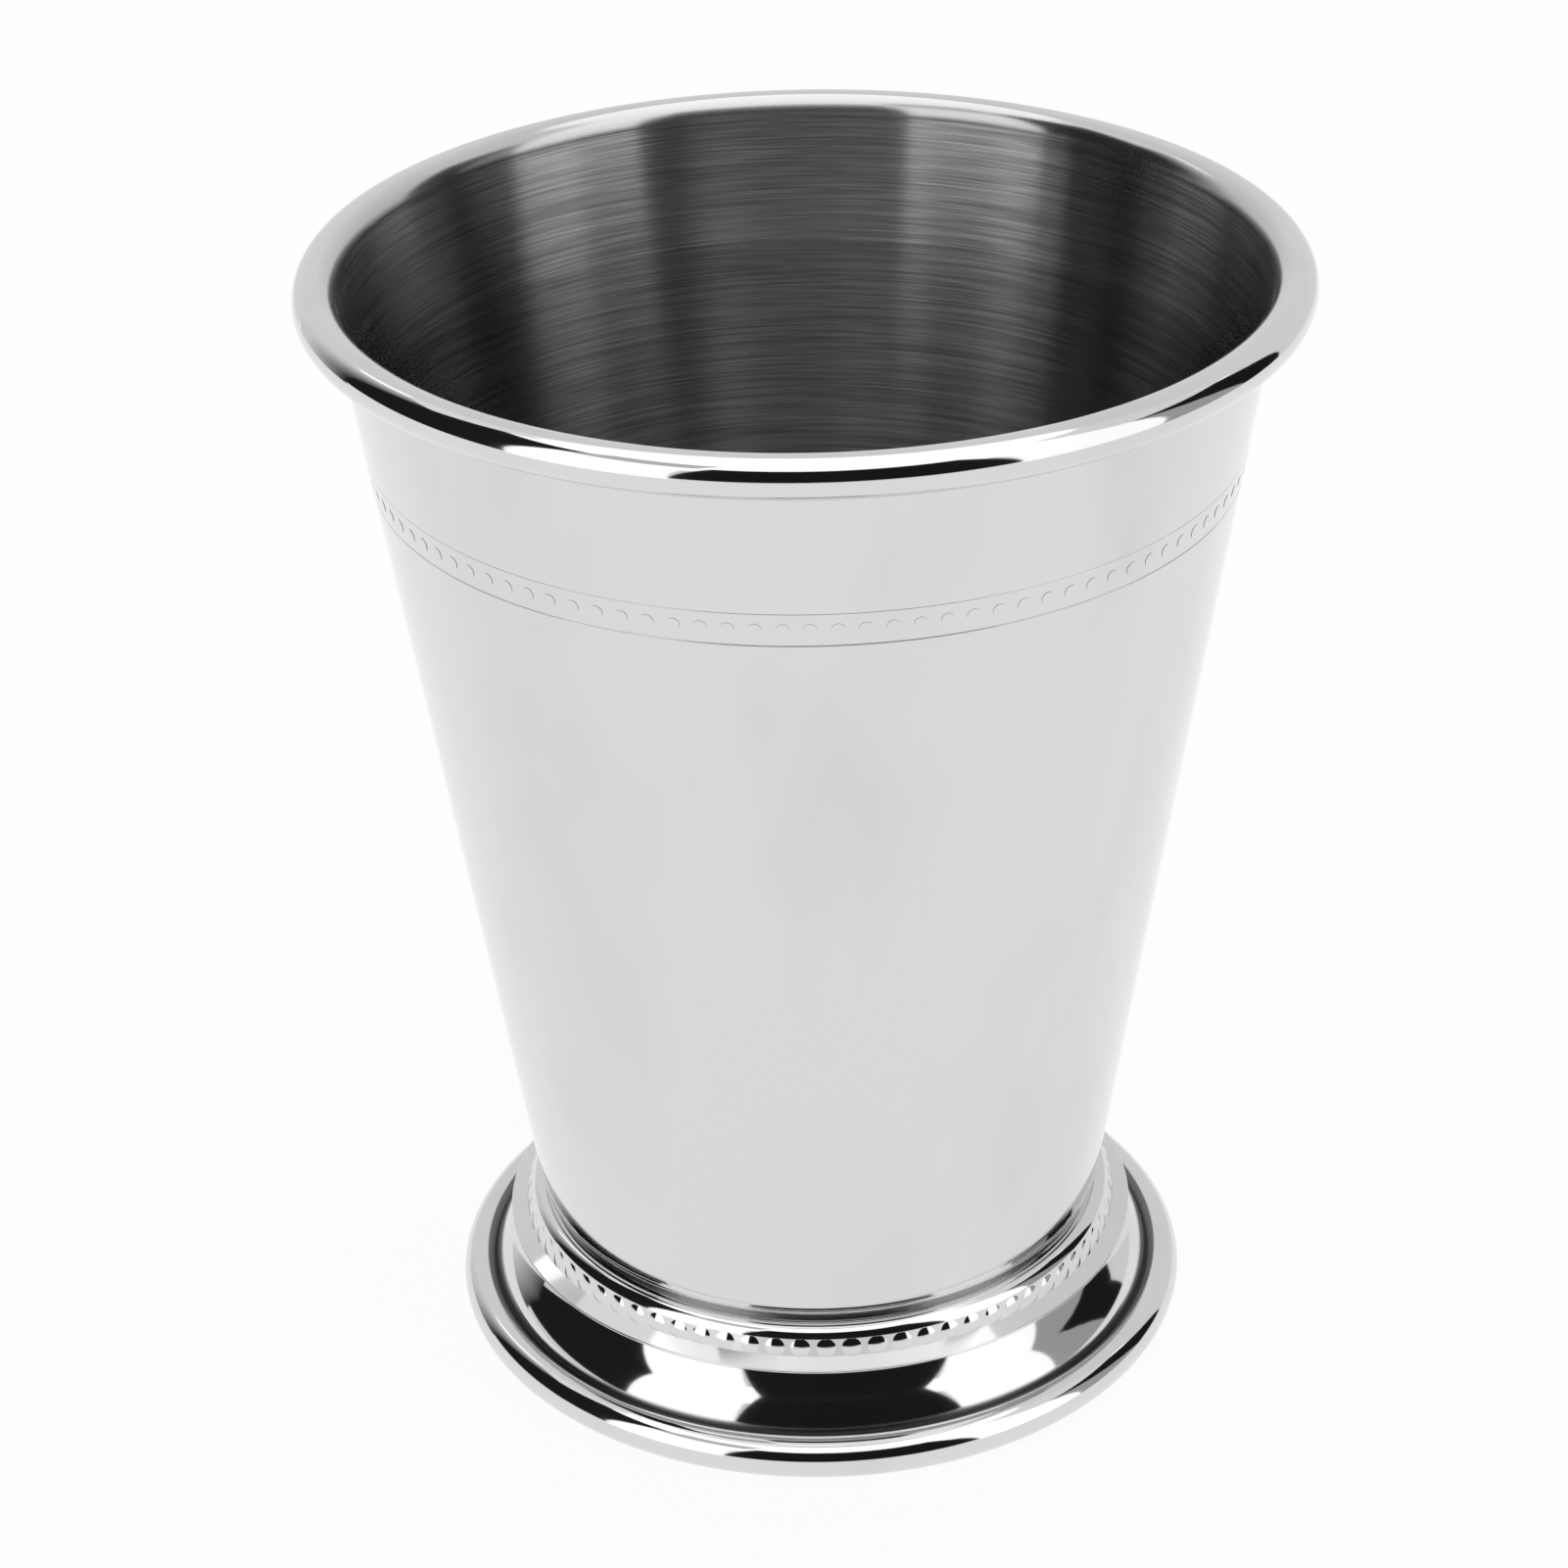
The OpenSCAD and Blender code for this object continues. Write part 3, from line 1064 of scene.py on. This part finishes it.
# Cards round the cup: name, azimuths of the foot and of the head in degrees from the camera's
# side, positive to its right, heights above the table in metres, and strength, where 1 is white.
# A curtain's two strengths are those of its front and back ends
CARD_RADIUS = 0.6
CARDS = (
    ("Stage_Panel_Left", (-64, -28), (-66, -28), (0.0, 0.72), 1.45),
    ("Stage_Panel_Left_Head", (-66, -28), (-66, -28), (0.72, 1.2), 0.6),
    ("Stage_Panel_Right", (44, 78), (42, 80), (0.0, 0.6), 1.45),
    ("Stage_Room_Front", (-28, 44), (-24, 38), (0.04, 0.72), 0.012),
    ("Stage_Room_Left", (-112, -64), (-112, -66), (0.04, 0.98), 0.014),
    ("Stage_Curtain_Left", (-138, -112), (-132, -112), (0.0, 0.66), (0.03, 0.75)),
    ("Stage_Wall_Left", (-142, -112), (-142, -112), (0.66, 1.14), 0.95),
    ("Stage_Room_Right", (104, 118), (80, 113), (0.0, 0.52), 0.012),
    ("Stage_Stand_Right", (78, 104), (80, 81), (0.0, 0.52), 0.42),
    ("Stage_Wall_Right", (78, 118), (78, 118), (0.52, 1.14), 0.9),
    ("Stage_Backdrop", (118, 220), (118, 220), (0.0, 1.14), 0.83),
)


def curved_card(name, foot, head, heights, strength):
    """A lit card that stands bent round the cup."""
    bm = bmesh.new()
    bmesh.ops.create_grid(bm, x_segments=24, y_segments=6, size=0.5)
    for vert in bm.verts:
        across, up = vert.co.x + 0.5, vert.co.y + 0.5
        low, high = (ends[0] + (ends[1] - ends[0]) * across for ends in (foot, head))
        azimuth = math.radians(low + (high - low) * up)
        z = heights[0] + (heights[1] - heights[0]) * up
        vert.co = (CARD_RADIUS * math.sin(azimuth), -CARD_RADIUS * math.cos(azimuth), z)
    depths = sorted(-CARD_RADIUS * math.cos(math.radians(end)) for end in head)
    return stage_object(bm, name, studio_light(name, strength, depths))


class JULEP_OT_studio(bpy.types.Operator):
    """Builds the white table, the lit cards, the world and the camera"""

    bl_idname = "julep.studio"
    bl_label = "Studio"

    def execute(self, context):
        scene = context.scene
        bm = bmesh.new()
        bmesh.ops.create_grid(bm, x_segments=1, y_segments=1, size=TABLE_HALF)
        bmesh.ops.translate(bm, vec=(0, TABLE_BACK, 0), verts=bm.verts)
        stage_object(bm, "Stage_Table", white_table())

        radius, height, strength = OVERHEAD
        bm = bmesh.new()
        bmesh.ops.create_circle(bm, cap_ends=True, segments=64, radius=radius)
        bmesh.ops.translate(bm, vec=(0, 0, height), verts=bm.verts)
        stage_object(bm, "Stage_Overhead", studio_light("Overhead softbox", strength))

        for card in CARDS:
            curved_card(*card)

        world = bpy.data.worlds.new("Studio")
        scene.world = world
        world.use_nodes = True
        tree = world.node_tree
        tree.nodes.clear()
        path = add(tree, "ShaderNodeLightPath")
        room = add(tree, "ShaderNodeBackground", Color=(1, 1, 1, 1), Strength=0.8)
        white = add(tree, "ShaderNodeBackground", Color=(1, 1, 1, 1), Strength=1.0)
        mix = add(
            tree,
            "ShaderNodeMixShader",
            [("Fac", path.outputs["Is Camera Ray"]), (1, room.outputs[0]), (2, white.outputs[0])],
        )
        add(tree, "ShaderNodeOutputWorld", [("Surface", mix.outputs[0])])

        lens = bpy.data.cameras.new("Camera")
        lens.sensor_width = SENSOR
        lens.lens = LENS
        camera = bpy.data.objects.new("Camera", lens)
        scene.collection.objects.link(camera)
        camera.location = CAMERA_PLACE
        pitch, yaw, roll = (math.radians(turn) for turn in CAMERA_TURNS)
        ahead = Vector(
            (math.sin(yaw) * math.cos(pitch), math.cos(yaw) * math.cos(pitch), -math.sin(pitch))
        )
        right = ahead.cross(Vector((0, 0, 1))).normalized()
        up = right.cross(ahead)
        tilt_right = math.cos(roll) * right + math.sin(roll) * up
        tilt_up = -math.sin(roll) * right + math.cos(roll) * up
        axes = Matrix((tilt_right, tilt_up, -ahead)).transposed()
        camera.rotation_euler = axes.to_euler()
        scene.camera = camera
        scene.view_settings.view_transform = "Standard"
        return {"FINISHED"}


class JULEP_PT_panel(bpy.types.Panel):
    """The cup's sizes, colours and pieces"""

    bl_label = "Julep Cup"
    bl_idname = "JULEP_PT_panel"
    bl_space_type = "VIEW_3D"
    bl_region_type = "UI"
    bl_category = "Julep Cup"

    def draw(self, context):
        layout = self.layout
        for name in ("julep_cup", "julep_foot", "julep_finish"):
            group = getattr(context.scene, name)
            box = layout.box()
            for key in group.__annotations__:
                box.prop(group, key)
        for operator in OPERATORS:
            layout.operator(operator.bl_idname)


OPERATORS = (
    JULEP_OT_studio,
    JULEP_OT_wall,
    JULEP_OT_floor,
    JULEP_OT_rim,
    JULEP_OT_band,
    JULEP_OT_foot,
    JULEP_OT_beads,
    JULEP_OT_wire,
    JULEP_OT_solder,
)
CLASSES = (JulepCupSizes, JulepFootSizes, JulepFinish, *OPERATORS, JULEP_PT_panel)


def register():
    for cls in CLASSES:
        bpy.utils.register_class(cls)
    bpy.types.Scene.julep_cup = PointerProperty(type=JulepCupSizes)
    bpy.types.Scene.julep_foot = PointerProperty(type=JulepFootSizes)
    bpy.types.Scene.julep_finish = PointerProperty(type=JulepFinish)


def unregister():
    del bpy.types.Scene.julep_finish
    del bpy.types.Scene.julep_foot
    del bpy.types.Scene.julep_cup
    for cls in reversed(CLASSES):
        bpy.utils.unregister_class(cls)


def main():
    register()
    for operator in OPERATORS:
        group, name = operator.bl_idname.split(".")
        getattr(getattr(bpy.ops, group), name)()


if __name__ == "__main__":
    main()
